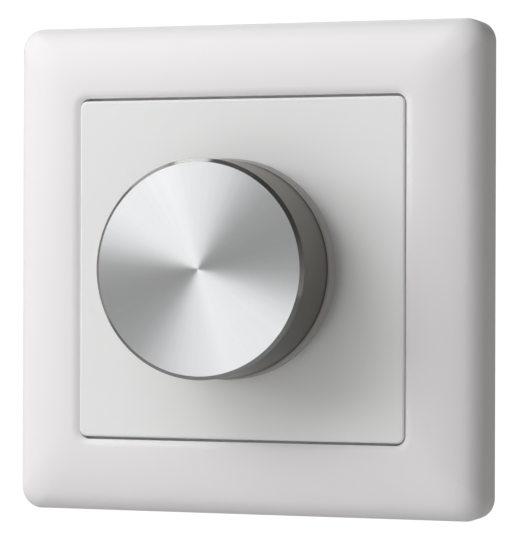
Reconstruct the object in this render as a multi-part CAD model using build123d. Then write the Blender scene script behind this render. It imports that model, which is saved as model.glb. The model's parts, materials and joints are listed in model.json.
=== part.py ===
from build123d import *

import os
from math import atan, cos, pi, radians, sin, sqrt

# Rotary push dimmer for a round wall box, in millimetres.
# Each piece is drawn flat on the bench, with Z towards the room and Y upwards, and is then stood up
# against the wall: the front faces -Y and +Z is up. The origin is the centre of the wall plane.
# Heights are measured from the wall plane, positive towards the room and negative into the wall box.

# Wall-box fixing
SCREW_SPACING = 60.0
SLOT_LENGTH = 7.4
SLOT_WIDTH = 4.2
SLOT_EDGE = 0.5
SUPPORT_SHEET = 1.2
SUPPORT_CORNER = 6.0
SUPPORT_BEND = 0.6
SUPPORT_FLANGE_RISE = 2.0
SUPPORT_FLANGE_LENGTH = 44.0

# Cover frame
FRAME_MARGIN = 2.2
FRAME_WALL = 1.8
FRAME_RISE = 10.4
CROWN_RISE = 1.0
FRAME_CORNER = 3.4
SHOULDER_RADIUS = 4.2
LIP_RADIUS = 2.0
LIP_TURN = 40.0
LIP_LAND = 0.2
LEDGE_WIDTH = 2.6
LEDGE_SHEET = 1.4
FRAME_RIB = 1.0
FRAME_RIB_SPACING = 20.0
FRAME_RIB_FOOT = 4.0

# Centre plate
PLATE_HEIGHT = 55.1
PLATE_END_GAP = 0.45
PLATE_SIDE_GAP = 0.12
PLATE_CORNER = 1.2
PLATE_EDGE = 0.4
PLATE_RIM = 2.4
PLATE_SHEET = 1.6
PLATE_SKIRT = 1.5
PLATE_RIB = 1.0
PLATE_RIB_DEPTH = 0.7
PLATE_RIB_COUNT = 8
WELL_FLOOR = 1.9
WELL_TOOL_ROOM = 1.3

# Knob
CAP_RADIUS = 17.3
CAP_HEIGHT = 12.0
CAP_CHAMFER = 0.6
CAP_WALL = 1.2
CAP_FACE = 1.6
RING_STANDOUT = 0.35
RING_HEIGHT = 3.2
RING_EDGE = 0.3
KNOB_CLEARANCE = 1.8
HUB_WALL = 1.6
HUB_SHEET = 1.5
HUB_BOSS_RADIUS = 5.2
HUB_RIB = 1.2
HUB_RIB_COUNT = 8
HUB_RIB_SETBACK = 1.5
GRIP_SLIT = 1.0
GRIP_SLIT_LENGTH = 7.0
GRIP_HEIGHT = 3.0
GRIP_SHEET = 0.7
GRIP_SETBACK = 0.5

# Shaft, bushing and nuts
SHAFT_RADIUS = 3.0
SHAFT_GRIP = 11.0
SHAFT_FLAT = 1.5
SHAFT_CHAMFER = 0.5
TAIL_RADIUS = 2.0
TAIL_FLAT = 1.5
BUSHING_RADIUS = 5.0
BUSHING_STANDOUT = 0.2
FLANGE_SHEET = 1.0
NUT_FLATS = 14.0
NUT_HEIGHT = 2.0
NUT_CHAMFER = 0.4
WASHER_RADIUS = 7.8
PLATE_WASHER_SHEET = 0.5
LOCK_WASHER_SHEET = 0.5
LOCK_TOOTH_COUNT = 10
LOCK_TOOTH_DEPTH = 1.2
LOCK_TOOTH_GAP = 1.4

# Turning and pushing
TURN_RANGE = 280.0
PUSH_TRAVEL = 1.5

# Rotary control behind the lid
CASE_RADIUS = 8.6
CASE_WALL = 0.6
CLIP_RADIUS = 4.6
CLIP_SHEET = 0.6
GROOVE_RADIUS = 2.3
SHANK_SHOULDER = 0.6
ROTOR_RADIUS = 6.4
ROTOR_SHEET = 2.4
LUG_HALF_ANGLE = 15.0
STOP_PLAY = 0.6
WIPER_HEIGHT = 1.1
WIPER_SHEET = 0.25
WIPER_RING_WIDTH = 2.4
WIPER_FINGER_LENGTH = 3.0
WIPER_FINGER_WIDTH = 1.0
TRACK_SHEET = 1.2
TRACK_TAB_WIDTH = 13.0
LEAD_RADIUS = 0.4
LEAD_SPACING = 5.0
LEAD_STANDOFF = 0.8
LEAD_TAIL = 1.0
TAIL_STANDOUT = 1.1

# Push switch
SWITCH_SIDE = 9.0
SWITCH_CORNER = 0.6
SWITCH_CAP_SHEET = 1.2
SWITCH_CAVITY_RADIUS = 3.7
SWITCH_FLOOR = 0.8
STEM_RADIUS = 1.6
PLUNGER_FLANGE_RADIUS = 2.8
PLUNGER_FLANGE = 1.0
SPRING_PIN_RADIUS = 0.8
SPRING_PIN_LENGTH = 1.0
SPRING_LENGTH = 3.4
SPRING_RADIUS = 1.4
SPRING_WIRE = 0.36
SPRING_TURNS = 4
BRIDGE_SHEET = 0.3
BRIDGE_RADIUS = 3.5
BRIDGE_INNER_RADIUS = 2.1
CONTACT_RADIUS = 0.5
CONTACT_CIRCLE = 2.8

# Module shell
LID_SHEET = 1.5
LID_RIM = 1.2
LID_RIM_DEPTH = 1.2
HOUSING_WALL = 1.8
HOUSING_REAR = 2.0
HOUSING_CHAMFER = 6.0
HOUSING_EDGE = 0.8
BOSS_RADIUS = 2.9
BOSS_CORNER_ROOM = 2.1
BOSS_SHOULDER = 0.9
FIXING_RADIUS = 1.4
FIXING_HEAD_RADIUS = 2.6
FIXING_HEAD = 1.4
FIXING_LENGTH = 11.0
DRIVE_SLOT = 0.7
DRIVE_DEPTH = 0.7

# Circuit board and what it carries
BOARD_SHEET = 1.6
BOARD_CLEARANCE = 0.4
BOARD_SOLDER_ROOM = 1.6
BOARD_FIXING_RADIUS = 1.1
BOARD_FIXING_HEAD_RADIUS = 1.9
BOARD_FIXING_HEAD = 1.2
BOARD_POST_RADIUS = 2.2
PART_GAP = 1.0
FILM_WIDTH = 9.0
FILM_LENGTH = 13.0
FILM_HEIGHT = 10.0
FILM_EDGE = 0.6
SMOOTH_RADIUS = 3.5
SMOOTH_HEIGHT = 9.0
SMOOTH_EDGE = 0.5
CHOKE_RADIUS = 6.2
CHOKE_HOLE_RADIUS = 2.2
CHOKE_HEIGHT = 6.0
CHOKE_WIRE = 0.8
CHOKE_WINDING_ANGLE = 300.0
FUSE_RADIUS = 2.4
FUSE_LENGTH = 8.0
FUSE_WIRE = 0.35
FUSE_WIRE_REACH = 1.2
TRANSISTOR_WIDTH = 10.0
TRANSISTOR_LENGTH = 9.2
TRANSISTOR_HEIGHT = 4.4
TRANSISTOR_TAB = 1.3
TRANSISTOR_TAB_LENGTH = 3.0
TRANSISTOR_DRAFT = 0.6

# Terminals
TERMINAL_COUNT = 3
TERMINAL_PITCH = 7.6
BLOCK_WALL = 1.0
BLOCK_HEIGHT = 8.6
BLOCK_DEPTH = 11.0
BLOCK_REAR = 2.5
CAGE_WIDTH = 5.4
CAGE_HEIGHT = 5.0
CAGE_LENGTH = 7.0
CAGE_SHEET = 1.0
WIRE_ENTRY_RADIUS = 1.7
TAG_WIDTH = 2.4
TAG_SHEET = 0.8
TAG_REACH = 2.0
CLAMP_SCREW_RADIUS = 1.5
CLAMP_HEAD_RADIUS = 2.3
CLAMP_HEAD = 1.6
CLAMP_REACH = 1.2

# Clearances
RUNNING_CLEARANCE = 0.04
FIT_CLEARANCE = 0.1
THREAD_CLEARANCE = 0.05
BOND_GAP = 0.05
END_PLAY = 0.05
MOVING_GAP = 0.3
CUT_OVERRUN = 1.0

# Lofted sections on each arc of the frame's profile
ARC_STEPS = 5

# Outlines that follow from the sizes above
SUPPORT_SIDE = SCREW_SPACING + SLOT_LENGTH + 2 * (SLOT_EDGE + SUPPORT_BEND + SUPPORT_SHEET)
FRAME_SIDE = SUPPORT_SIDE + 2 * (FRAME_MARGIN + FRAME_WALL)
WINDOW_SIDE = PLATE_HEIGHT + 2 * PLATE_END_GAP
WINDOW_CORNER = PLATE_CORNER + PLATE_END_GAP
PLATE_WIDTH = WINDOW_SIDE - 2 * PLATE_SIDE_GAP
LIP_RUN = LIP_RADIUS * sin(radians(LIP_TURN))
LIP_HALF = WINDOW_SIDE / 2 + LIP_RUN + LIP_LAND
LIP_CORNER = WINDOW_CORNER + LIP_RUN + LIP_LAND
NUT_CORNER_RADIUS = NUT_FLATS / sqrt(3)
WELL_RADIUS = NUT_CORNER_RADIUS + WELL_TOOL_ROOM
CASE_BORE = CASE_RADIUS - CASE_WALL
RING_RADIUS = CAP_RADIUS + RING_STANDOUT
HUB_RADIUS = CAP_RADIUS - CAP_WALL - BOND_GAP
BLOCK_WIDTH = TERMINAL_COUNT * TERMINAL_PITCH + 2 * BLOCK_WALL
BOSS_INSET = BOSS_RADIUS + BOSS_CORNER_ROOM
LEAD_ROW = CASE_RADIUS + LEAD_STANDOFF

# The housing is as wide as the widest row of parts that it holds
INNER_HALF = max(
    CASE_RADIUS + FILM_WIDTH + 3 * PART_GAP,
    BLOCK_WIDTH / 2 + PART_GAP / 2 + BOSS_RADIUS + BOSS_INSET,
    LEAD_ROW + LEAD_RADIUS + TRANSISTOR_LENGTH + 2 * PART_GAP,
)
HOUSING_HALF = INNER_HALF + HOUSING_WALL
BOSS_PLACE = INNER_HALF - BOSS_INSET

# Heights from the wall plane towards the room
FRAME_SIDE_WALL = FRAME_RISE - SHOULDER_RADIUS - CROWN_RISE
LOCK_WASHER_TOP = SUPPORT_SHEET + LOCK_WASHER_SHEET
BUSHING_TOP = FRAME_RISE - BUSHING_STANDOUT
PLATE_NUT_BOTTOM = BUSHING_TOP - BUSHING_STANDOUT - NUT_HEIGHT
WELL_TOP = PLATE_NUT_BOTTOM - PLATE_WASHER_SHEET
WELL_BOTTOM = WELL_TOP - WELL_FLOOR
LEDGE_TOP = FRAME_RISE - PLATE_RIM
LEDGE_BOTTOM = LEDGE_TOP - LEDGE_SHEET
KNOB_BACK = FRAME_RISE + PUSH_TRAVEL + KNOB_CLEARANCE
RING_TOP = KNOB_BACK + RING_HEIGHT
KNOB_FACE = RING_TOP + CAP_HEIGHT
HUB_TOP = KNOB_FACE - CAP_FACE - BOND_GAP
SHAFT_TOP = KNOB_BACK + SHAFT_GRIP

# Heights from the wall plane into the wall box
LID_BOTTOM = -LID_SHEET
FLANGE_BOTTOM = LID_BOTTOM - FLANGE_SHEET
CLIP_TOP = FLANGE_BOTTOM - END_PLAY
CLIP_BOTTOM = CLIP_TOP - CLIP_SHEET
SHANK_BOTTOM = CLIP_BOTTOM - SHANK_SHOULDER
ROTOR_TOP = SHANK_BOTTOM - PUSH_TRAVEL - MOVING_GAP
ROTOR_BOTTOM = ROTOR_TOP - ROTOR_SHEET
TRACK_TOP = ROTOR_BOTTOM - WIPER_HEIGHT
TRACK_BOTTOM = TRACK_TOP - TRACK_SHEET
CASE_BACK = TRACK_BOTTOM - CASE_WALL
TAIL_END = CASE_BACK - TAIL_STANDOUT
SWITCH_TOP = TAIL_END - PUSH_TRAVEL - MOVING_GAP
SWITCH_RIM = SWITCH_TOP - SWITCH_CAP_SHEET
PLUNGER_SHOULDER = SWITCH_RIM - END_PLAY
SPRING_SEAT = PLUNGER_SHOULDER - PLUNGER_FLANGE
SWITCH_FLOOR_TOP = SPRING_SEAT - SPRING_LENGTH
CONTACT_TOP = SPRING_SEAT - BRIDGE_SHEET - PUSH_TRAVEL - FIT_CLEARANCE
BOARD_TOP = SWITCH_FLOOR_TOP - SWITCH_FLOOR
BOARD_BOTTOM = BOARD_TOP - BOARD_SHEET
REAR_INSIDE = BOARD_BOTTOM - BOARD_SOLDER_ROOM
REAR = REAR_INSIDE - HOUSING_REAR

# Places in the plane of the wall
BLOCK_FOOT = -INNER_HALF + FIT_CLEARANCE
BLOCK_HEAD = BLOCK_FOOT + BLOCK_HEIGHT
BOARD_FOOT = BLOCK_HEAD + BOARD_CLEARANCE
CAGE_HEAD = BLOCK_HEAD - BLOCK_WALL - FIT_CLEARANCE
CAGE_FOOT = CAGE_HEAD - CAGE_HEIGHT
CAGE_BACK = REAR + BLOCK_REAR + FIT_CLEARANCE
CLAMP_HEIGHT = CAGE_BACK + CAGE_LENGTH / 2
BOARD_FIXING_PLACES = [
    (side * TERMINAL_PITCH / 2, BOARD_FOOT + BOARD_FIXING_HEAD_RADIUS + PART_GAP / 2)
    for side in (-1, 1)
]
BOSS_PLACES = [(x * BOSS_PLACE, y * BOSS_PLACE) for x in (-1, 1) for y in (-1, 1)]
TERMINAL_PLACES = [
    (index - (TERMINAL_COUNT - 1) / 2) * TERMINAL_PITCH for index in range(TERMINAL_COUNT)
]
STOP_HALF_ANGLE = 180 - TURN_RANGE / 2 - LUG_HALF_ANGLE - STOP_PLAY


# Drawing helpers

def slab(outline, bottom, top):
    """An outline in the wall plane, thickened from one height to another."""
    return extrude(Pos(0, 0, bottom) * outline, top - bottom)


def disc(radius, bottom, top):
    return slab(Circle(radius), bottom, top)


def tube(radius, bore, bottom, top):
    return slab(Circle(radius) - Circle(bore), bottom, top)


def rounded_square(side, corner, bottom, top):
    return slab(RectangleRounded(side, side, corner), bottom, top)


def block(x_range, y_range, z_range):
    """A box given by its two ends along each bench axis."""
    ends = list(zip(x_range, y_range, z_range))
    size = [high - low for low, high in zip(*ends)]
    centre = [(high + low) / 2 for low, high in zip(*ends)]
    return Pos(*centre) * Box(*size)


def clipped_square(half):
    """The housing's outline for a given half width: a square with its corners cut off."""
    cut = HOUSING_CHAMFER - (HOUSING_HALF - half) * (2 - sqrt(2))
    return chamfer(Rectangle(2 * half, 2 * half).vertices(), cut)


def sector(radius, half_angle, middle_angle):
    """A wedge from the axis, wide enough to be cut by a ring of the given radius."""
    along = 2 * radius * cos(radians(half_angle))
    across = 2 * radius * sin(radians(half_angle))
    wedge = Polygon((0, 0), (along, -across), (along, across), align=None)
    return Rot(0, 0, middle_angle) * wedge


def at_places(piece, places):
    """The same piece at several places in the wall plane."""
    return [Pos(x, y, 0) * piece for x, y in places]


def together(pieces):
    return Part() + list(pieces)


def around(piece, count):
    """The same piece turned about the axis, evenly spaced."""
    return [Rot(0, 0, 360 * index / count) * piece for index in range(count)]


def front_edges(piece):
    return piece.edges().group_by(Axis.Z)[-1]


# Cover frame and centre plate

def frame_profile(inset):
    """Half width and height of the frame's outside, from the side wall over the shoulder to the lip.

    A tight shoulder arc leaves the side wall upright and runs on into a wide crown arc, level at the lip.
    The inset moves both arcs inwards by a wall's thickness.
    """
    edge = FRAME_SIDE / 2 - inset
    shoulder = SHOULDER_RADIUS - inset
    top = FRAME_RISE - inset
    crown_run = edge - LIP_HALF - shoulder
    crown_turn = 2 * atan(CROWN_RISE / crown_run)
    crown = shoulder + crown_run / sin(crown_turn)
    shares = [step / ARC_STEPS for step in range(ARC_STEPS + 1)]
    turns = [share * (pi / 2 - crown_turn) for share in shares]
    rows = [(edge - shoulder * (1 - cos(turn)), FRAME_SIDE_WALL + shoulder * sin(turn)) for turn in turns]
    slopes = [(1 - share) * crown_turn for share in shares[1:]]
    return rows + [(LIP_HALF + crown * sin(slope), top - crown * (1 - cos(slope))) for slope in slopes]


def frame_form(inset, foot):
    """The frame's pillow form: an upright wall under a loft whose corners tighten towards the lip."""
    outer = FRAME_SIDE / 2 - inset
    rows = frame_profile(inset)
    sections = []
    for half, height in rows:
        share = (outer - half) / (outer - LIP_HALF)
        corner = FRAME_CORNER - inset + (LIP_CORNER - FRAME_CORNER) * share
        sections.append(Pos(0, 0, height) * RectangleRounded(2 * half, 2 * half, corner))
    wall = rounded_square(2 * outer, FRAME_CORNER - inset, foot, FRAME_SIDE_WALL)
    return wall + loft(sections)


def softened_lip(frame):
    """The frame with a shallow arc round its window, which the window's upright wall then cuts short."""
    inset = LIP_RADIUS - LIP_RUN
    foot = FRAME_RISE - LIP_RADIUS - LIP_LAND
    frame -= rounded_square(WINDOW_SIDE - 2 * inset, WINDOW_CORNER - inset, foot, FRAME_RISE + CUT_OVERRUN)
    reach = LIP_HALF - LIP_LAND
    inner = front_edges(frame).filter_by(lambda edge: max(abs(edge.center().X), abs(edge.center().Y)) < reach)
    return fillet(inner, LIP_RADIUS)


def cover_frame():
    below = -CUT_OVERRUN
    wall_side = WINDOW_SIDE + 2 * FRAME_WALL
    wall_corner = WINDOW_CORNER + FRAME_WALL
    hollow = frame_form(FRAME_WALL, below) - rounded_square(wall_side, wall_corner, 2 * below, FRAME_RISE)
    rib = block((wall_side / 2 - FRAME_RIB, FRAME_SIDE / 2), (-FRAME_RIB / 2, FRAME_RIB / 2),
                (FRAME_RIB_FOOT, FRAME_RISE))
    row = [Pos(0, step * FRAME_RIB_SPACING, 0) * rib for step in (-1, 0, 1)]
    ribs = together(Rot(0, 0, turn) * piece for turn in (0, 90, 180, 270) for piece in row)
    frame = softened_lip(frame_form(0, 0) - (hollow - ribs))
    frame -= rounded_square(WINDOW_SIDE, WINDOW_CORNER, LEDGE_TOP, FRAME_RISE + CUT_OVERRUN)
    frame -= rounded_square(WINDOW_SIDE - 2 * LEDGE_WIDTH, WINDOW_CORNER, below, FRAME_RISE)
    return frame - rounded_square(wall_side, wall_corner, below, LEDGE_BOTTOM)


def centre_plate():
    plate = slab(RectangleRounded(PLATE_WIDTH, PLATE_HEIGHT, PLATE_CORNER), LEDGE_TOP, FRAME_RISE)
    plate = fillet(front_edges(plate), PLATE_EDGE)
    ceiling = FRAME_RISE - PLATE_SHEET
    inside = Rectangle(PLATE_WIDTH - 2 * PLATE_SKIRT, PLATE_HEIGHT - 2 * PLATE_SKIRT)
    rib = block((0, PLATE_WIDTH), (-PLATE_RIB / 2, PLATE_RIB / 2), (ceiling - PLATE_RIB_DEPTH, ceiling))
    plate -= slab(inside, LEDGE_TOP, ceiling) - together(around(rib, PLATE_RIB_COUNT))
    plate += disc(WELL_RADIUS + PLATE_SKIRT, WELL_BOTTOM, FRAME_RISE - PLATE_EDGE)
    plate -= disc(WELL_RADIUS, WELL_TOP, FRAME_RISE)
    return plate - disc(BUSHING_RADIUS + FIT_CLEARANCE, WELL_BOTTOM, WELL_TOP)


# Knob

def knob_cap():
    cap = disc(CAP_RADIUS, RING_TOP, KNOB_FACE)
    cap = chamfer(front_edges(cap), CAP_CHAMFER)
    return cap - disc(CAP_RADIUS - CAP_WALL, RING_TOP, KNOB_FACE - CAP_FACE)


def knob_hub():
    ring = fillet(disc(RING_RADIUS, KNOB_BACK, RING_TOP).edges(), RING_EDGE)
    hub = ring + disc(HUB_RADIUS, RING_TOP - RING_EDGE, HUB_TOP)
    bore = HUB_RADIUS - HUB_WALL
    hollow = tube(bore, HUB_BOSS_RADIUS, KNOB_BACK, HUB_TOP - HUB_SHEET)
    rib_foot = KNOB_BACK + GRIP_SETBACK + GRIP_HEIGHT + HUB_RIB_SETBACK
    rib = block((0, CAP_RADIUS), (-HUB_RIB / 2, HUB_RIB / 2), (rib_foot, HUB_TOP))
    hub -= hollow - together(around(rib, HUB_RIB_COUNT))
    reach = SHAFT_RADIUS + BOND_GAP
    flat = block((-reach, reach), (SHAFT_FLAT + BOND_GAP, 2 * reach), (KNOB_BACK, HUB_TOP))
    hub -= disc(reach, KNOB_BACK, SHAFT_TOP + MOVING_GAP) - flat
    slit = Rectangle(2 * HUB_BOSS_RADIUS, GRIP_SLIT)
    slits = slab(slit, KNOB_BACK, KNOB_BACK + GRIP_SLIT_LENGTH)
    return hub - (slits & disc(HUB_BOSS_RADIUS, KNOB_BACK, HUB_TOP))


def grip_ring():
    bore = HUB_BOSS_RADIUS + BOND_GAP
    bottom = KNOB_BACK + GRIP_SETBACK
    ring = tube(bore + GRIP_SHEET, bore, bottom, bottom + GRIP_HEIGHT)
    return ring - block((0, 2 * bore), (-GRIP_SLIT, GRIP_SLIT), (bottom, bottom + GRIP_HEIGHT))


def double_flat(clearance):
    """The shaft's tail in section, round with a flat on each side, grown by a clearance."""
    radius = TAIL_RADIUS + clearance
    return Circle(radius) & Rectangle(2 * radius + CUT_OVERRUN, 2 * (TAIL_FLAT + clearance))


def control_shaft():
    shank = disc(SHAFT_RADIUS, SHANK_BOTTOM, SHAFT_TOP)
    shank = chamfer(front_edges(shank), SHAFT_CHAMFER)
    shank -= tube(2 * SHAFT_RADIUS, GROOVE_RADIUS, CLIP_BOTTOM - END_PLAY, CLIP_TOP + END_PLAY)
    shank -= block((-SHAFT_RADIUS, SHAFT_RADIUS), (SHAFT_FLAT, 2 * SHAFT_RADIUS), (KNOB_BACK, SHAFT_TOP))
    return shank + slab(double_flat(0), TAIL_END, SHANK_BOTTOM)


def retaining_clip():
    bore = GROOVE_RADIUS + BOND_GAP
    mouth = block((0, 2 * CLIP_RADIUS), (-bore, bore), (CLIP_BOTTOM, CLIP_TOP))
    return tube(CLIP_RADIUS, bore, CLIP_BOTTOM, CLIP_TOP) - mouth


# Bushing, nuts and washers

def threaded_bushing():
    bushing = disc(BUSHING_RADIUS, FLANGE_BOTTOM, BUSHING_TOP)
    bushing = chamfer(front_edges(bushing), NUT_CHAMFER)
    bushing += disc(CASE_RADIUS, FLANGE_BOTTOM, LID_BOTTOM)
    return bushing - disc(SHAFT_RADIUS + RUNNING_CLEARANCE, FLANGE_BOTTOM, BUSHING_TOP)


def hex_nut(bottom):
    top = bottom + NUT_HEIGHT
    hexagon = RegularPolygon(NUT_FLATS / 2, 6, major_radius=False)
    turned = chamfer(disc(NUT_CORNER_RADIUS, bottom, top).edges(), NUT_CHAMFER)
    return (slab(hexagon, bottom, top) & turned) - disc(BUSHING_RADIUS + THREAD_CLEARANCE, bottom, top)


def plate_nut():
    return hex_nut(PLATE_NUT_BOTTOM)


def bushing_nut():
    return hex_nut(LOCK_WASHER_TOP)


def plate_washer():
    return tube(WASHER_RADIUS, BUSHING_RADIUS + FIT_CLEARANCE, WELL_TOP, PLATE_NUT_BOTTOM)


def lock_washer():
    bore = BUSHING_RADIUS + FIT_CLEARANCE
    washer = tube(WASHER_RADIUS, bore, SUPPORT_SHEET, LOCK_WASHER_TOP)
    notch = block((0, bore + LOCK_TOOTH_DEPTH), (-LOCK_TOOTH_GAP / 2, LOCK_TOOTH_GAP / 2),
                  (SUPPORT_SHEET, LOCK_WASHER_TOP))
    return washer - together(around(notch, LOCK_TOOTH_COUNT))


# Support plate

def bent_flange():
    """One upturned edge of the support plate, with its bend, on the +X side."""
    outer = SUPPORT_BEND + SUPPORT_SHEET
    edge = SUPPORT_SIDE / 2
    top = SUPPORT_SHEET + SUPPORT_FLANGE_RISE
    corner = Pos(edge - outer, outer) * (Circle(outer) - Circle(SUPPORT_BEND))
    corner &= Pos(edge - outer / 2, outer / 2) * Rectangle(outer, outer)
    upright = Pos(edge - SUPPORT_SHEET / 2, (top + outer) / 2) * Rectangle(SUPPORT_SHEET, top - outer)
    section = Plane.XZ * (corner + upright)
    return Pos(0, SUPPORT_FLANGE_LENGTH / 2, 0) * extrude(section, SUPPORT_FLANGE_LENGTH)


def support_plate():
    plate = rounded_square(SUPPORT_SIDE, SUPPORT_CORNER, 0, SUPPORT_SHEET)
    bend = SUPPORT_BEND + SUPPORT_SHEET
    edge = SUPPORT_SIDE / 2
    half = SUPPORT_FLANGE_LENGTH / 2 + SUPPORT_BEND
    relief = block((edge - bend, edge + CUT_OVERRUN), (-half, half), (0, SUPPORT_SHEET))
    slot = slab(Pos(SCREW_SPACING / 2, 0) * SlotOverall(SLOT_LENGTH, SLOT_WIDTH), 0, SUPPORT_SHEET)
    plate -= together(around(relief, 4))
    plate += around(bent_flange(), 4)
    plate -= together(around(slot, 4))
    plate -= disc(BUSHING_RADIUS + FIT_CLEARANCE, 0, SUPPORT_SHEET)
    fixing = disc(FIXING_RADIUS + FIT_CLEARANCE, 0, SUPPORT_SHEET)
    return plate - together(at_places(fixing, BOSS_PLACES))


# Module shell

def module_lid():
    lid = slab(clipped_square(HOUSING_HALF), LID_BOTTOM, 0)
    rim_half = INNER_HALF - FIT_CLEARANCE
    rim_foot = LID_BOTTOM - LID_RIM_DEPTH
    rim = slab(clipped_square(rim_half) - clipped_square(rim_half - LID_RIM), rim_foot, LID_BOTTOM)
    room = disc(BOSS_RADIUS + MOVING_GAP, rim_foot, LID_BOTTOM)
    lid += rim - together(at_places(room, BOSS_PLACES))
    lid -= disc(BUSHING_RADIUS + FIT_CLEARANCE, LID_BOTTOM, 0)
    fixing = disc(FIXING_RADIUS + FIT_CLEARANCE, LID_BOTTOM, 0)
    return lid - together(at_places(fixing, BOSS_PLACES))


def block_outline(margin):
    """The terminal block's outline in the wall plane, grown by a margin."""
    width = BLOCK_WIDTH + 2 * margin
    return Pos(0, (BLOCK_FOOT + BLOCK_HEAD) / 2) * Rectangle(width, BLOCK_HEIGHT + 2 * margin)


def module_housing():
    shell = slab(clipped_square(HOUSING_HALF), REAR, LID_BOTTOM)
    shell = fillet(shell.edges().group_by(Axis.Z)[0], HOUSING_EDGE)
    shell -= slab(clipped_square(INNER_HALF), REAR_INSIDE, LID_BOTTOM)
    shell += at_places(disc(BOSS_RADIUS, REAR_INSIDE, LID_BOTTOM), BOSS_PLACES)
    shoulders = [place for place in BOSS_PLACES if place[1] > 0]
    shell += at_places(disc(BOSS_RADIUS + BOSS_SHOULDER, REAR_INSIDE, BOARD_BOTTOM), shoulders)
    shell += at_places(disc(BOARD_POST_RADIUS, REAR_INSIDE, BOARD_BOTTOM), BOARD_FIXING_PLACES)
    bore = disc(FIXING_RADIUS + THREAD_CLEARANCE, LID_BOTTOM - FIXING_LENGTH, LID_BOTTOM)
    shell -= together(at_places(bore, BOSS_PLACES))
    post_bore = disc(BOARD_FIXING_RADIUS + THREAD_CLEARANCE, REAR_INSIDE, BOARD_BOTTOM)
    shell -= together(at_places(post_bore, BOARD_FIXING_PLACES))
    shell -= slab(block_outline(FIT_CLEARANCE), REAR, REAR_INSIDE)
    return shell - clamp_holes(CLAMP_HEAD_RADIUS + MOVING_GAP, -HOUSING_HALF, -INNER_HALF)


def clamp_holes(radius, low, high):
    """Round holes along Y, one in line with each terminal screw."""
    hole = Pos(0, low, CLAMP_HEIGHT) * (Rot(-90, 0, 0) * extrude(Circle(radius), high - low))
    return together(Pos(x, 0, 0) * hole for x in TERMINAL_PLACES)


def pan_screw(radius, length, head_radius, head, seat):
    """A slotted screw that points into the wall, with its head's underside at the seat."""
    top = seat + head
    button = chamfer(front_edges(disc(head_radius, seat, top)), head / 2)
    slot = block((-head_radius, head_radius), (-DRIVE_SLOT / 2, DRIVE_SLOT / 2), (top - DRIVE_DEPTH, top))
    return button - slot + disc(radius, seat - length, seat)


def housing_screws():
    length = FIXING_LENGTH + SUPPORT_SHEET + LID_SHEET - MOVING_GAP
    screw = pan_screw(FIXING_RADIUS, length, FIXING_HEAD_RADIUS, FIXING_HEAD, SUPPORT_SHEET)
    return together(at_places(screw, BOSS_PLACES))


# Rotary control

def pot_case():
    case = tube(CASE_RADIUS, CASE_BORE, TRACK_BOTTOM, FLANGE_BOTTOM)
    case += tube(CASE_RADIUS, TAIL_RADIUS + FIT_CLEARANCE, CASE_BACK, TRACK_BOTTOM)
    stop = Circle(CASE_BORE) - Circle(ROTOR_RADIUS + MOVING_GAP)
    case += slab(stop & sector(CASE_RADIUS, STOP_HALF_ANGLE, 270), ROTOR_BOTTOM, ROTOR_TOP)
    half = TRACK_TAB_WIDTH / 2 + FIT_CLEARANCE
    return case - block((-half, half), (0, 2 * CASE_RADIUS), (TRACK_BOTTOM, TRACK_TOP + FIT_CLEARANCE))


def wiper_rotor():
    lug = Circle(CASE_BORE - MOVING_GAP) & sector(CASE_RADIUS, LUG_HALF_ANGLE, 90)
    return slab(Circle(ROTOR_RADIUS) + lug - double_flat(RUNNING_CLEARANCE), ROTOR_BOTTOM, ROTOR_TOP)


def wiper_contact():
    top = ROTOR_BOTTOM
    tip = TRACK_TOP + END_PLAY
    outer = ROTOR_RADIUS - PART_GAP
    middle = outer - WIPER_RING_WIDTH / 2
    ring = tube(outer, outer - WIPER_RING_WIDTH, top - WIPER_SHEET, top)
    end = WIPER_FINGER_LENGTH
    side = Polygon((0, top), (0, top - WIPER_SHEET), (end, tip), (end, tip + WIPER_SHEET), align=None)
    finger = Pos(middle - WIPER_FINGER_WIDTH / 2, 0, 0) * extrude(Plane.YZ * side, WIPER_FINGER_WIDTH)
    return ring + around(finger, 2)


def track_board():
    half = TRACK_TAB_WIDTH / 2
    track = disc(CASE_BORE - FIT_CLEARANCE, TRACK_BOTTOM, TRACK_TOP)
    track += block((-half, half), (0, LEAD_ROW + LEAD_STANDOFF), (TRACK_BOTTOM, TRACK_TOP))
    track -= disc(TAIL_RADIUS + FIT_CLEARANCE, TRACK_BOTTOM, TRACK_TOP)
    return track - lead_pins(LEAD_RADIUS + THREAD_CLEARANCE, TRACK_BOTTOM, TRACK_TOP)


def lead_pins(radius, bottom, top):
    places = [(step * LEAD_SPACING, LEAD_ROW) for step in (-1, 0, 1)]
    return together(at_places(disc(radius, bottom, top), places))


def pot_leads():
    return lead_pins(LEAD_RADIUS, BOARD_BOTTOM - LEAD_TAIL, TRACK_TOP)


# Push switch

def contact_pins(radius, bottom, top):
    places = [(side * CONTACT_CIRCLE, 0) for side in (-1, 1)]
    return together(at_places(disc(radius, bottom, top), places))


def switch_body():
    body = rounded_square(SWITCH_SIDE, SWITCH_CORNER, BOARD_TOP, SWITCH_RIM)
    body -= disc(SWITCH_CAVITY_RADIUS, SWITCH_FLOOR_TOP, SWITCH_RIM)
    return body - contact_pins(CONTACT_RADIUS + THREAD_CLEARANCE, BOARD_TOP, SWITCH_FLOOR_TOP)


def switch_cap():
    cap = rounded_square(SWITCH_SIDE, SWITCH_CORNER, SWITCH_RIM, SWITCH_TOP)
    return cap - disc(STEM_RADIUS + RUNNING_CLEARANCE, SWITCH_RIM, SWITCH_TOP)


def switch_plunger():
    plunger = disc(STEM_RADIUS, PLUNGER_SHOULDER, TAIL_END)
    plunger += disc(PLUNGER_FLANGE_RADIUS, SPRING_SEAT, PLUNGER_SHOULDER)
    return plunger + disc(SPRING_PIN_RADIUS, SPRING_SEAT - SPRING_PIN_LENGTH, SPRING_SEAT)


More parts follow.
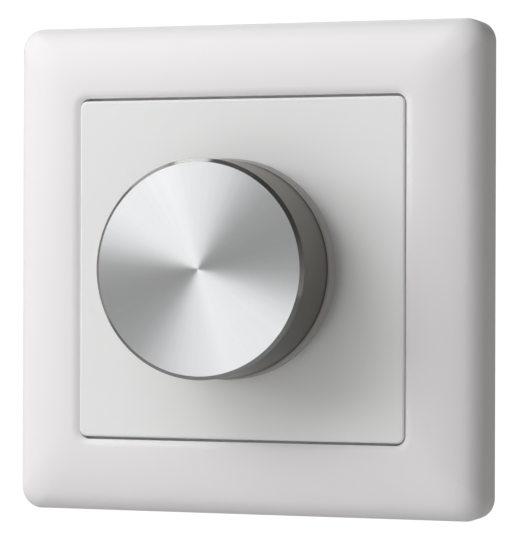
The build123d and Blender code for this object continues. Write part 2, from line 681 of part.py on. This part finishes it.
def contact_bridge():
    return tube(BRIDGE_RADIUS, BRIDGE_INNER_RADIUS, SPRING_SEAT - BRIDGE_SHEET, SPRING_SEAT)


def switch_contacts():
    return contact_pins(CONTACT_RADIUS, BOARD_BOTTOM - LEAD_TAIL, CONTACT_TOP)


def return_spring():
    height = SPRING_LENGTH - SPRING_WIRE - 2 * END_PLAY
    foot = SWITCH_FLOOR_TOP + SPRING_WIRE / 2 + END_PLAY
    coil = Helix(height / SPRING_TURNS, height, SPRING_RADIUS, center=(0, 0, foot))
    wire = Plane(origin=coil @ 0, z_dir=coil % 0) * Circle(SPRING_WIRE / 2)
    return sweep(wire, path=coil)


# Circuit board and its parts

def circuit_board():
    outline = clipped_square(INNER_HALF - BOARD_CLEARANCE)
    outline -= Pos(0, BOARD_FOOT - INNER_HALF) * Rectangle(2 * HOUSING_HALF, 2 * INNER_HALF)
    board = slab(outline, BOARD_BOTTOM, BOARD_TOP)
    board -= together(at_places(disc(BOSS_RADIUS + FIT_CLEARANCE, BOARD_BOTTOM, BOARD_TOP), BOSS_PLACES))
    fixing = disc(BOARD_FIXING_RADIUS + FIT_CLEARANCE, BOARD_BOTTOM, BOARD_TOP)
    board -= together(at_places(fixing, BOARD_FIXING_PLACES))
    board -= lead_pins(LEAD_RADIUS + THREAD_CLEARANCE, BOARD_BOTTOM, BOARD_TOP)
    return board - contact_pins(CONTACT_RADIUS + THREAD_CLEARANCE, BOARD_BOTTOM, BOARD_TOP)


def board_screws():
    length = BOARD_SHEET + BOARD_SOLDER_ROOM - MOVING_GAP
    screw = pan_screw(BOARD_FIXING_RADIUS, length, BOARD_FIXING_HEAD_RADIUS, BOARD_FIXING_HEAD, BOARD_TOP)
    return together(at_places(screw, BOARD_FIXING_PLACES))


def film_capacitor():
    x = PART_GAP + FILM_WIDTH / 2 - INNER_HALF
    y = FILM_LENGTH / 2 - SMOOTH_RADIUS
    case = slab(Pos(x, y) * Rectangle(FILM_WIDTH, FILM_LENGTH), BOARD_TOP, BOARD_TOP + FILM_HEIGHT)
    return fillet(front_edges(case), FILM_EDGE)


def smoothing_capacitor():
    x = PART_GAP + SMOOTH_RADIUS - INNER_HALF
    can = fillet(front_edges(disc(SMOOTH_RADIUS, BOARD_TOP, BOARD_TOP + SMOOTH_HEIGHT)), SMOOTH_EDGE)
    return Pos(x, -2 * SMOOTH_RADIUS - PART_GAP, 0) * can


def choke_place():
    return Pos(INNER_HALF - PART_GAP - CHOKE_RADIUS, CHOKE_RADIUS / 2, 0)


def choke_section(margin):
    """The wound choke's section beside the axis, shrunk by a margin all round."""
    width = CHOKE_RADIUS - CHOKE_HOLE_RADIUS
    centre = Pos((CHOKE_RADIUS + CHOKE_HOLE_RADIUS) / 2, BOARD_TOP + CHOKE_HEIGHT / 2)
    return Plane.XZ * (centre * Rectangle(width - 2 * margin, CHOKE_HEIGHT - 2 * margin))


def choke_core():
    return choke_place() * revolve(choke_section(CHOKE_WIRE), Axis.Z)


def choke_winding():
    winding = choke_section(0) - choke_section(CHOKE_WIRE - BOND_GAP)
    return choke_place() * revolve(winding, Axis.Z, CHOKE_WINDING_ANGLE)


def fuse():
    reach = FUSE_LENGTH / 2 + FUSE_WIRE_REACH
    x = INNER_HALF - 2 * PART_GAP - reach
    y = -CHOKE_RADIUS / 2 - PART_GAP - FUSE_RADIUS
    height = BOARD_TOP + FUSE_RADIUS
    lying = Pos(x, y, height) * Rot(0, 90, 0)
    body = lying * Cylinder(FUSE_RADIUS, FUSE_LENGTH)
    wire = lying * Cylinder(FUSE_WIRE, 2 * reach)
    leg_places = [(x + side * (reach - FUSE_WIRE), y) for side in (-1, 1)]
    return body + wire + at_places(disc(FUSE_WIRE, BOARD_TOP, height), leg_places)


def power_transistors():
    foot = INNER_HALF - PART_GAP - TRANSISTOR_LENGTH
    moulding_end = INNER_HALF - PART_GAP - TRANSISTOR_TAB_LENGTH
    half = TRANSISTOR_WIDTH / 2
    tab = block((-half, half), (foot, INNER_HALF - PART_GAP), (BOARD_TOP, BOARD_TOP + TRANSISTOR_TAB))
    moulding = block((-half, half), (foot, moulding_end), (BOARD_TOP, BOARD_TOP + TRANSISTOR_HEIGHT))
    moulding = chamfer(front_edges(moulding), TRANSISTOR_DRAFT)
    places = [(side * (half + PART_GAP / 2), 0) for side in (-1, 1)]
    return together(at_places(tab + moulding, places))


# Terminals

def terminal_block():
    front = REAR + BLOCK_DEPTH
    body = slab(block_outline(0), REAR, front)
    half = CAGE_WIDTH / 2 + FIT_CLEARANCE
    tag = TAG_WIDTH / 2 + FIT_CLEARANCE
    pocket_rows = (CAGE_FOOT - FIT_CLEARANCE, CAGE_HEAD + FIT_CLEARANCE)
    pocket = block((-half, half), pocket_rows, (REAR + BLOCK_REAR, front))
    notch = block((-tag, tag), (CAGE_HEAD, BLOCK_HEAD), (BOARD_TOP - FIT_CLEARANCE, front))
    entry = Pos(0, (CAGE_HEAD + CAGE_FOOT) / 2, 0) * disc(WIRE_ENTRY_RADIUS, REAR, REAR + BLOCK_REAR)
    body -= together(Pos(x, 0, 0) * cut for x in TERMINAL_PLACES for cut in (pocket, notch, entry))
    return body - clamp_holes(CLAMP_HEAD_RADIUS + FIT_CLEARANCE, BLOCK_FOOT, CAGE_FOOT)


def terminal_cages():
    half = CAGE_WIDTH / 2
    top = CAGE_BACK + CAGE_LENGTH
    cage = block((-half, half), (CAGE_FOOT, CAGE_HEAD), (CAGE_BACK, top))
    cage -= block((CAGE_SHEET - half, half - CAGE_SHEET), (CAGE_FOOT + CAGE_SHEET, CAGE_HEAD - CAGE_SHEET),
                  (CAGE_BACK, top))
    cage += block((-TAG_WIDTH / 2, TAG_WIDTH / 2), (CAGE_HEAD - CAGE_SHEET, BOARD_FOOT + TAG_REACH),
                  (BOARD_TOP, BOARD_TOP + TAG_SHEET))
    cages = together(Pos(x, 0, 0) * cage for x in TERMINAL_PLACES)
    return cages - clamp_holes(CLAMP_SCREW_RADIUS + THREAD_CLEARANCE, CAGE_FOOT, CAGE_FOOT + CAGE_SHEET)


def terminal_screws():
    length = CAGE_SHEET + CLAMP_REACH
    screw = pan_screw(CLAMP_SCREW_RADIUS, length, CLAMP_HEAD_RADIUS, CLAMP_HEAD, 0)
    screw = Pos(0, CAGE_FOOT, CLAMP_HEIGHT) * (Rot(90, 0, 0) * screw)
    return together(Pos(x, 0, 0) * screw for x in TERMINAL_PLACES)


PIECES = [
    cover_frame, centre_plate,
    knob_cap, knob_hub, grip_ring, control_shaft, retaining_clip,
    plate_nut, plate_washer, bushing_nut, lock_washer, threaded_bushing,
    support_plate, module_lid, module_housing, housing_screws,
    pot_case, wiper_rotor, wiper_contact, track_board, pot_leads,
    switch_body, switch_cap, switch_plunger, contact_bridge, switch_contacts, return_spring,
    circuit_board, board_screws, film_capacitor, smoothing_capacitor,
    choke_core, choke_winding, fuse, power_transistors,
    terminal_block, terminal_cages, terminal_screws,
]

os.makedirs("parts", exist_ok=True)
for piece in PIECES:
    standing = Rot(90, 0, 0) * piece()
    export_step(standing, os.path.join("parts", piece.__name__ + ".step"))
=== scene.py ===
"""Looks of a rotary push dimmer: a white frame and plate round a turned aluminium knob."""

import json
from math import copysign, cos, pi, radians, sin

import bpy
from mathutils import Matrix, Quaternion, Vector


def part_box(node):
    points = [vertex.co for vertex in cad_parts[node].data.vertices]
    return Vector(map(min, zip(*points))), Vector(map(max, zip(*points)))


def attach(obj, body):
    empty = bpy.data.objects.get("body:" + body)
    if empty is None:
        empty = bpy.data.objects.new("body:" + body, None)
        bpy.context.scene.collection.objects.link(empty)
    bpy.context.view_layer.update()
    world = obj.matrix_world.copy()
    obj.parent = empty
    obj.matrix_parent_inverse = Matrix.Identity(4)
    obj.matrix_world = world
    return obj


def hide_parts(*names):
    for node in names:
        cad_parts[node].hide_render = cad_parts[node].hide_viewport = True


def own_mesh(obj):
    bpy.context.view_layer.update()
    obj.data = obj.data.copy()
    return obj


MM = 0.001

# Camera, at the photograph's viewing angle
IMAGE_HEIGHT_PIXELS = 544
SENSOR_MM = 36.0
FOCAL_PIXELS = 2875.0
CAMERA_YAW = 19.66
CAMERA_PITCH = 0.054
CAMERA_ROLL = 0.174
CAMERA_DISTANCE = 473.9 * MM
CAMERA_TARGET = Vector((-0.065 * MM, 0, -0.451 * MM))

# Studio
FLOOR_LEVEL = -330 * MM
FLOOR_RADIUS = 1000 * MM
FLOOR_SIDES = 128
FLOOR_COLOUR = (0.82, 0.82, 0.81)
FLOOR_ROUGHNESS = 0.7
FLOOR_GRAIN = 2 * MM
BACKDROP_STRENGTH = 1.05
LIGHT_BOUNCES = 24

# Surface patterns: patches of plastic and plated metal, a mould's texture, rings of turning and faint
# streaks that run out from the axis
MOTTLE_GRAIN = 12 * MM
MOTTLE_GLOSS = 0.05
MOULD_GRAIN = 0.25 * MM
MOULD_DEPTH = 0.004 * MM
CLOUD_GRAIN = 4 * MM
CLOUD_SHADES = (0.92, 1.06)
CLOUD_GLOSS = 0.08
PLATING_GRAIN = 0.6 * MM
PLATING_DEPTH = 0.002 * MM
RING_PITCH = 0.12 * MM
RING_SHADES = (0.93, 1.05)
RING_GLOSS = 0.05
STREAK_RADIANS = 0.06
QUARTER_TURN = 0.25

# The cover's satin white plastic
COVER_ROUGHNESS = 0.42
COVER_DEPTH = 0.001 * MM
COVER_VARIATION = 0.005

# The knob's cap: where its face ends and its side begins, and the finish of its face, chamfer and side; the
# chamfer's and side's darker, warmer colours are painted shade for the dark, warm surroundings they reflect
CAP_FACE_RADIUS = 16.69 * MM
CAP_SIDE_FRONT = -28.31 * MM
# Face, chamfer, side: the chamfer's and side's colours are painted shade, darkened and warmed for the dark
# surroundings they reflect
CAP_COLOURS_AND_PAINTED_SHADE = ((0.615, 0.63, 0.645), (0.335, 0.335, 0.33), (0.165, 0.164, 0.158))
CAP_ROUGHNESS = (0.37, 0.25, 0.16)
CAP_GLOSS = (0.05, 0.01, 0.02)
CAP_STREAKS = (0.035, 0.0, 0.02)
CAP_SHADES = (0.96, 1.04)
CAP_ANISOTROPY = 0.95
CAP_EDGE_TINT = (0.77, 0.75, 0.71, 1.0)

# Wound wire: its facets, the return spring and the choke
WIRE_SIDES = 12
TURN_STEPS = 40
SPRING_WIRE = 0.36 * MM
SPRING_OPEN_TURNS = 4
CHOKE_WIRE = 0.74 * MM
CHOKE_HOLE = 2.2 * MM
CHOKE_TURNS = 17
CHOKE_ANGLE = 300.0
CHOKE_CORNER = 0.4

# The room's own light, a warm glow that is strongest from below: its tint, strength, direction and falloff
ROOM_TINT = (1.0, 0.98, 0.955, 1.0)
ROOM_STRENGTH = 1.29
ROOM_BRIGHT_SIDE = (-0.22, 0.0, -0.97)
ROOM_FALLOFF = 1.5

# Softboxes: degrees to the right of the front, degrees up, distance, width, height (metres), power (watts)
SOFTBOXES = {
    "key": (-50, 40, 0.90, 0.42, 0.42, 1.79),
    "key_front": (-30, 28, 0.80, 0.50, 0.45, 1.30),
    "key_low": (-48, 12, 0.90, 0.42, 0.25, 1.23),
    "key_top": (-10, 42, 0.90, 0.45, 0.45, 1.25),
    "low": (-8, -20, 0.90, 0.42, 0.42, 0.75),
    "right": (20, 35, 0.90, 0.40, 0.40, 0.35),
    "overhead": (-88, 66, 0.90, 0.30, 0.30, 1.00),
    "rim": (-103, 42, 0.90, 0.20, 0.30, 0.30),
    "back": (205, 40, 0.90, 0.50, 0.50, 1.00),
}


# Node helpers

def material(name, **values):
    """A new material, its nodes and its shader, with the given values on the shader's sockets."""
    made = bpy.data.materials.new(name)
    made.use_nodes = True
    nodes = made.node_tree.nodes
    shader = nodes["Principled BSDF"]
    for socket, value in values.items():
        shader.inputs[socket.replace("_", " ")].default_value = value
    return made, made.node_tree, shader


def add(tree, kind, **settings):
    """A new node of a kind, with its settings."""
    node = tree.nodes.new(kind)
    for name, value in settings.items():
        setattr(node, name, value)
    return node


def math(tree, operation, first, second=0.0, third=0.0):
    """A math node's output, from sockets or plain numbers."""
    node = add(tree, "ShaderNodeMath", operation=operation)
    for socket, value in zip(node.inputs, (first, second, third)):
        if isinstance(value, (int, float)):
            socket.default_value = value
        else:
            tree.links.new(value, socket)
    return node.outputs[0]


def place(tree):
    """Where a point is in the part's own frame, in metres."""
    return add(tree, "ShaderNodeTexCoord").outputs["Object"]


def noise(tree, grain, detail=2.0, where=None):
    """Noise from 0 to 1 whose patches are about one grain across, in metres."""
    node = add(tree, "ShaderNodeTexNoise")
    node.inputs["Scale"].default_value = 1 / grain
    node.inputs["Detail"].default_value = detail
    tree.links.new(where or place(tree), node.inputs["Vector"])
    return node.outputs["Fac"]


def spread(tree, share, low, high):
    """A share from 0 to 1 mapped to a range."""
    node = add(tree, "ShaderNodeMapRange")
    node.inputs["To Min"].default_value = low
    node.inputs["To Max"].default_value = high
    tree.links.new(share, node.inputs["Value"])
    return node.outputs["Result"]


def between(tree, share, first, second):
    """A colour between two, by a share from 0 to 1."""
    node = add(tree, "ShaderNodeMix", data_type="RGBA")
    node.inputs["A"].default_value = (*first, 1)
    node.inputs["B"].default_value = (*second, 1)
    tree.links.new(share, node.inputs["Factor"])
    return node.outputs["Result"]


def bump(tree, shader, height, depth):
    """Relief of a given depth in metres, from a height between 0 and 1."""
    node = add(tree, "ShaderNodeBump")
    node.inputs["Strength"].default_value = 1.0
    node.inputs["Distance"].default_value = depth
    tree.links.new(height, node.inputs["Height"])
    tree.links.new(node.outputs["Normal"], shader.inputs["Normal"])


def shade(colour, factor):
    """A colour made darker or lighter."""
    return tuple(min(channel * factor, 1.0) for channel in colour)


# Materials

def moulded(name, colour, roughness, grain=MOULD_GRAIN, depth=MOULD_DEPTH, variation=0.03):
    """Moulded plastic: a faint mottle in colour and gloss, and the mould's fine grain."""
    made, tree, shader = material(name)
    mottle = noise(tree, MOTTLE_GRAIN)
    tint = between(tree, mottle, shade(colour, 1 - variation), shade(colour, 1 + variation))
    tree.links.new(tint, shader.inputs["Base Color"])
    fine = noise(tree, grain, detail=3.0)
    gloss = spread(tree, fine, roughness - MOTTLE_GLOSS, roughness + MOTTLE_GLOSS)
    tree.links.new(gloss, shader.inputs["Roughness"])
    bump(tree, shader, fine, depth)
    return made


def cover_white(name, colour):
    """The cover's satin white plastic."""
    return moulded(name, colour, COVER_ROUGHNESS, depth=COVER_DEPTH, variation=COVER_VARIATION)


def plated(name, colour, roughness, grain=PLATING_GRAIN):
    """Plated or drawn metal with a slightly uneven gloss."""
    made, tree, shader = material(name, Metallic=1.0)
    cloud = noise(tree, CLOUD_GRAIN, detail=4.0)
    tint = between(tree, cloud, *(shade(colour, factor) for factor in CLOUD_SHADES))
    tree.links.new(tint, shader.inputs["Base Color"])
    fine = noise(tree, grain, detail=4.0)
    gloss = spread(tree, fine, roughness - CLOUD_GLOSS, roughness + CLOUD_GLOSS)
    tree.links.new(gloss, shader.inputs["Roughness"])
    bump(tree, shader, fine, PLATING_DEPTH)
    return made


def across_axis(tree, operation):
    """A vector math node of a point's offset from the knob's axis."""
    across = add(tree, "ShaderNodeVectorMath", operation="MULTIPLY")
    across.inputs[1].default_value = (1, 0, 1)
    tree.links.new(place(tree), across.inputs[0])
    node = add(tree, "ShaderNodeVectorMath", operation=operation)
    tree.links.new(across.outputs["Vector"], node.inputs[0])
    return node


def round_axis(tree):
    """A point's distance from the knob's axis, and its place along that axis, in metres."""
    length = across_axis(tree, "LENGTH")
    split = add(tree, "ShaderNodeSeparateXYZ")
    tree.links.new(place(tree), split.inputs["Vector"])
    return length.outputs["Value"], split.outputs["Y"]


def rings(tree, radius, depth):
    """Fine uneven rings round the axis, from 0 to 1."""
    node = add(tree, "ShaderNodeTexNoise", noise_dimensions="1D")
    node.inputs["Scale"].default_value = 1 / RING_PITCH
    node.inputs["Detail"].default_value = 3.0
    tree.links.new(math(tree, "ADD", radius, depth), node.inputs["W"])
    return node.outputs["Fac"]


def streaks(tree):
    """Faint streaks that run out from the axis, from 0 to 1."""
    return noise(tree, STREAK_RADIANS, detail=3.0, where=across_axis(tree, "NORMALIZE").outputs["Vector"])


def grooved(tree, shader):
    """Turns the shader's gloss so that it spreads across grooves round the axis."""
    shader.inputs["Anisotropic Rotation"].default_value = QUARTER_TURN
    tangent = add(tree, "ShaderNodeTangent", direction_type="RADIAL", axis="Y")
    tree.links.new(tangent.outputs["Tangent"], shader.inputs["Tangent"])


def turned(name, colour, roughness, anisotropy):
    """Turned metal: fine rings round the axis, which spread the gloss across them."""
    made, tree, shader = material(name, Metallic=1.0, Anisotropic=anisotropy)
    grooved(tree, shader)
    lines = rings(tree, *round_axis(tree))
    tint = between(tree, lines, *(shade(colour, factor) for factor in RING_SHADES))
    tree.links.new(tint, shader.inputs["Base Color"])
    gloss = spread(tree, lines, roughness - RING_GLOSS, roughness + RING_GLOSS)
    tree.links.new(gloss, shader.inputs["Roughness"])
    return made


def turned_cap(name):
    """The knob's cap: a face turned in fine rings, and a chamfer and a smoother side that are painted darker
    and warmer as shade.
    """
    made, tree, shader = material(name, Metallic=1.0, Anisotropic=CAP_ANISOTROPY,
                                  Specular_Tint=CAP_EDGE_TINT)
    grooved(tree, shader)
    radius, depth = round_axis(tree)
    on_side = math(tree, "GREATER_THAN", depth, CAP_SIDE_FRONT)
    off_face = math(tree, "GREATER_THAN", radius, CAP_FACE_RADIUS)
    on_chamfer = math(tree, "SUBTRACT", off_face, on_side)

    def zones(face, chamfer, side):
        """A value that differs between the face, the chamfer and the side."""
        extra = math(tree, "MULTIPLY_ADD", on_chamfer, chamfer - face, face)
        return math(tree, "MULTIPLY_ADD", on_side, side - face, extra)

    lines = rings(tree, radius, depth)
    fan = math(tree, "MULTIPLY_ADD", spread(tree, streaks(tree), -1.0, 1.0), zones(*CAP_STREAKS), 1.0)
    pattern = math(tree, "MULTIPLY", fan, spread(tree, lines, *CAP_SHADES))
    colour = add(tree, "ShaderNodeCombineColor")
    # The chamfer and side get darker, warmer colours here: painted shade for the dark, warm surroundings
    # they reflect
    for socket, levels in zip(colour.inputs, zip(*CAP_COLOURS_AND_PAINTED_SHADE)):
        tree.links.new(math(tree, "MULTIPLY", zones(*levels), pattern), socket)
    tree.links.new(colour.outputs["Color"], shader.inputs["Base Color"])
    gloss = math(tree, "MULTIPLY_ADD", spread(tree, lines, -1.0, 1.0), zones(*CAP_GLOSS),
                 zones(*CAP_ROUGHNESS))
    tree.links.new(gloss, shader.inputs["Roughness"])
    return made


MATERIALS = {
    "white_cover": lambda name: cover_white(name, (0.80, 0.805, 0.81)),
    "knob_metal": turned_cap,
    "knob_grey": lambda name: moulded(name, (0.345, 0.33, 0.315), 0.5),
    "spring_steel": lambda name: plated(name, (0.55, 0.56, 0.58), 0.3),
    "shaft_steel": lambda name: turned(name, (0.62, 0.62, 0.63), 0.3, 0.6),
    "nickel_plate": lambda name: plated(name, (0.72, 0.70, 0.66), 0.2),
    "zinc_sheet": lambda name: plated(name, (0.60, 0.61, 0.62), 0.38, grain=1.5 * MM),
    "module_shell": lambda name: moulded(name, (0.045, 0.045, 0.048), 0.5, depth=0.012 * MM),
    "zinc_screw": lambda name: plated(name, (0.63, 0.63, 0.62), 0.32),
    "rotor_plastic": lambda name: moulded(name, (0.62, 0.58, 0.48), 0.5),
    "contact_brass": lambda name: plated(name, (0.78, 0.60, 0.30), 0.3),
    "track_paper": lambda name: moulded(name, (0.30, 0.17, 0.08), 0.6, variation=0.15),
    "switch_black": lambda name: moulded(name, (0.03, 0.03, 0.032), 0.45),
    "plunger_white": lambda name: moulded(name, (0.78, 0.78, 0.76), 0.45),
    "board_green": lambda name: moulded(name, (0.03, 0.16, 0.06), 0.4, variation=0.12),
    "film_case": lambda name: moulded(name, (0.70, 0.45, 0.08), 0.35),
    "can_sleeve": lambda name: moulded(name, (0.03, 0.04, 0.08), 0.3),
    "ferrite": lambda name: moulded(name, (0.05, 0.05, 0.05), 0.6, variation=0.1),
    "copper_wire": lambda name: plated(name, (0.72, 0.34, 0.18), 0.28),
    "fuse_body": lambda name: moulded(name, (0.72, 0.70, 0.62), 0.3),
    "terminal_grey": lambda name: moulded(name, (0.40, 0.41, 0.42), 0.45),
}

# Nodes whose finish differs a little from that of their slot: the frame is a touch pinker than the plate
NODE_MATERIALS = {
    "cover_frame": lambda name: cover_white(name, (0.805, 0.792, 0.803)),
}


def dress(frame):
    """Gives every node its own material or that of its slot."""
    made = {name: make(name) for name, make in (MATERIALS | NODE_MATERIALS).items()}
    for part in frame["record"]["subparts"]:
        node = frame["nodes"][part["node"]]
        node.data.materials.clear()
        node.data.materials.append(made.get(part["node"], made[part["material_slot"]]))


# Wound pieces, in place of plainer solids

def wire(name, path, radius, slot, node):
    """A round wire along a path of points, standing for a node of the fixed body."""
    corners, side = [], Vector((0, 1, 0))
    turns = [2 * pi * step / WIRE_SIDES for step in range(WIRE_SIDES)]
    for before, point, after in zip(path[:1] + path[:-1], path, path[1:] + path[-1:]):
        along = (after - before).normalized()
        side = (side - along * side.dot(along)).normalized()
        other = along.cross(side)
        corners += [point + radius * (cos(turn) * side + sin(turn) * other) for turn in turns]
    ring = range(WIRE_SIDES)
    last = len(corners) - WIRE_SIDES
    faces = [[first + step, first + (step + 1) % WIRE_SIDES, first + WIRE_SIDES + (step + 1) % WIRE_SIDES,
              first + WIRE_SIDES + step] for first in range(0, last, WIRE_SIDES) for step in ring]
    mesh = bpy.data.meshes.new(name)
    mesh.from_pydata(corners, [], faces + [list(reversed(ring)), [last + step for step in ring]])
    mesh.shade_smooth()
    mesh.materials.append(bpy.data.materials[slot])
    piece = bpy.data.objects.new(name, mesh)
    bpy.context.scene.collection.objects.link(piece)
    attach(piece, "fixed_part")
    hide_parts(node)
    return piece


def spring_coil():
    """The switch's return spring, drawn at rest: open turns between closed ends, which close up on the real
    switch when the knob is pushed.
    """
    low, high = map(Vector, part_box("return_spring"))
    radius = (high.x - low.x - SPRING_WIRE) / 2
    first, length = high.y - SPRING_WIRE / 2, high.y - low.y - SPRING_WIRE
    pitch = (length - 2 * SPRING_WIRE) / SPRING_OPEN_TURNS
    path = []
    for step in range((SPRING_OPEN_TURNS + 2) * TURN_STEPS + 1):
        turned = step / TURN_STEPS
        opened = min(max(turned - 1, 0), SPRING_OPEN_TURNS)
        rise = opened * pitch + (turned - opened) * SPRING_WIRE
        path.append(Vector((radius * cos(2 * pi * turned), first - rise, radius * sin(2 * pi * turned))))
    coil = wire("spring_coil", path, SPRING_WIRE / 2, "spring_steel", "return_spring")
    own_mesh(coil)


def choke_coil():
    """The choke's enamelled wire, wound round the ring core turn by turn."""
    low, high = map(Vector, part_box("choke_winding"))
    middle = (low + high) / 2
    outer = (high.x - low.x) / 2
    half_width = (outer - CHOKE_HOLE - CHOKE_WIRE) / 2
    half_height = (high.y - low.y - CHOKE_WIRE) / 2
    path = []
    for step in range(CHOKE_TURNS * TURN_STEPS + 1):
        turn = 2 * pi * step / TURN_STEPS
        round_core = radians(CHOKE_ANGLE) * step / (CHOKE_TURNS * TURN_STEPS)
        radius = (outer + CHOKE_HOLE) / 2 + half_width * squared(cos(turn))
        path.append(middle + Vector((radius * cos(round_core), half_height * squared(sin(turn)),
                                     radius * sin(round_core))))
    wire("choke_coil", path, CHOKE_WIRE / 2, "copper_wire", "choke_winding")


def squared(share):
    """A sine or cosine bent so that a circle becomes a square with round corners."""
    return copysign(abs(share) ** CHOKE_CORNER, share)


# Studio

def towards(right, up):
    """The direction that many degrees to the right of the front and above it."""
    return Vector((sin(radians(right)) * cos(radians(up)), -cos(radians(right)) * cos(radians(up)),
                   sin(radians(up))))


def look_at(thing, spot, target, roll=0.0):
    """Puts a camera or light at a spot, aims it at the target and rolls it by some degrees."""
    aim = (target - spot).to_track_quat("-Z", "Y")
    thing.location = spot
    thing.rotation_euler = (aim @ Quaternion((0, 0, 1), radians(roll))).to_euler()
    bpy.context.scene.collection.objects.link(thing)


def camera():
    """The camera, with the lens that gives the photograph's frame."""
    lens = bpy.data.cameras.new("camera")
    lens.sensor_width = SENSOR_MM
    lens.lens = FOCAL_PIXELS * SENSOR_MM / IMAGE_HEIGHT_PIXELS
    seen = bpy.data.objects.new("camera", lens)
    spot = CAMERA_TARGET + CAMERA_DISTANCE * towards(CAMERA_YAW, CAMERA_PITCH)
    look_at(seen, spot, CAMERA_TARGET, CAMERA_ROLL)
    bpy.context.scene.camera = seen


def softboxes():
    """Soft rectangular lights, all aimed at the object."""
    for name, (right, up, distance, width, height, power) in SOFTBOXES.items():
        light = bpy.data.lights.new(name, "AREA")
        light.shape = "RECTANGLE"
        light.size = width
        light.size_y = height
        light.energy = power
        look_at(bpy.data.objects.new(name, light), distance * towards(right, up), Vector())


def floor():
    """A plain pale floor, well below the object."""
    bpy.ops.mesh.primitive_circle_add(vertices=FLOOR_SIDES, radius=FLOOR_RADIUS, fill_type="NGON",
                                      location=(0, 0, FLOOR_LEVEL))
    ground = bpy.context.object
    ground.name = "floor"
    ground.data.materials.append(moulded("floor", FLOOR_COLOUR, FLOOR_ROUGHNESS, grain=FLOOR_GRAIN))


def backdrop():
    """A plain white backdrop for the camera, and the room's own light for everything else."""
    world = bpy.data.worlds.new("backdrop")
    bpy.context.scene.world = world
    world.use_nodes = True
    tree = world.node_tree
    room = tree.nodes["Background"]
    facing = add(tree, "ShaderNodeVectorMath", operation="DOT_PRODUCT")
    facing.inputs[1].default_value = ROOM_BRIGHT_SIDE
    tree.links.new(add(tree, "ShaderNodeTexCoord").outputs["Generated"], facing.inputs[0])
    share = math(tree, "MULTIPLY_ADD", facing.outputs["Value"], 0.5, 0.5)
    glow = math(tree, "MULTIPLY", math(tree, "POWER", share, ROOM_FALLOFF), ROOM_STRENGTH)
    tree.links.new(glow, room.inputs["Strength"])
    room.inputs["Color"].default_value = ROOM_TINT
    white = add(tree, "ShaderNodeBackground")
    white.inputs["Strength"].default_value = BACKDROP_STRENGTH
    white.inputs["Color"].default_value = (1, 1, 1, 1)
    pick = add(tree, "ShaderNodeMixShader")
    tree.links.new(add(tree, "ShaderNodeLightPath").outputs["Is Camera Ray"], pick.inputs["Fac"])
    tree.links.new(room.outputs["Background"], pick.inputs[1])
    tree.links.new(white.outputs["Background"], pick.inputs[2])
    tree.links.new(pick.outputs["Shader"], tree.nodes["World Output"].inputs["Surface"])
    bpy.context.scene.view_settings.view_transform = "Standard"
    bpy.context.scene.cycles.max_bounces = LIGHT_BOUNCES
    bpy.context.scene.cycles.diffuse_bounces = LIGHT_BOUNCES


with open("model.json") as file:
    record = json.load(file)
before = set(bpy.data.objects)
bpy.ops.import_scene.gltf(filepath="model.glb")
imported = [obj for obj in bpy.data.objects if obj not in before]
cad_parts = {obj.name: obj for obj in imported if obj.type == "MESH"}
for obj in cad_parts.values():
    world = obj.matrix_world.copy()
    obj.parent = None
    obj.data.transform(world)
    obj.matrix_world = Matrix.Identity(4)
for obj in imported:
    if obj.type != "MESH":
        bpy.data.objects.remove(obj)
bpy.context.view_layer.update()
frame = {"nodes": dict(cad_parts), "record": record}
dress(frame)
spring_coil()
choke_coil()
camera()
softboxes()
floor()
backdrop()
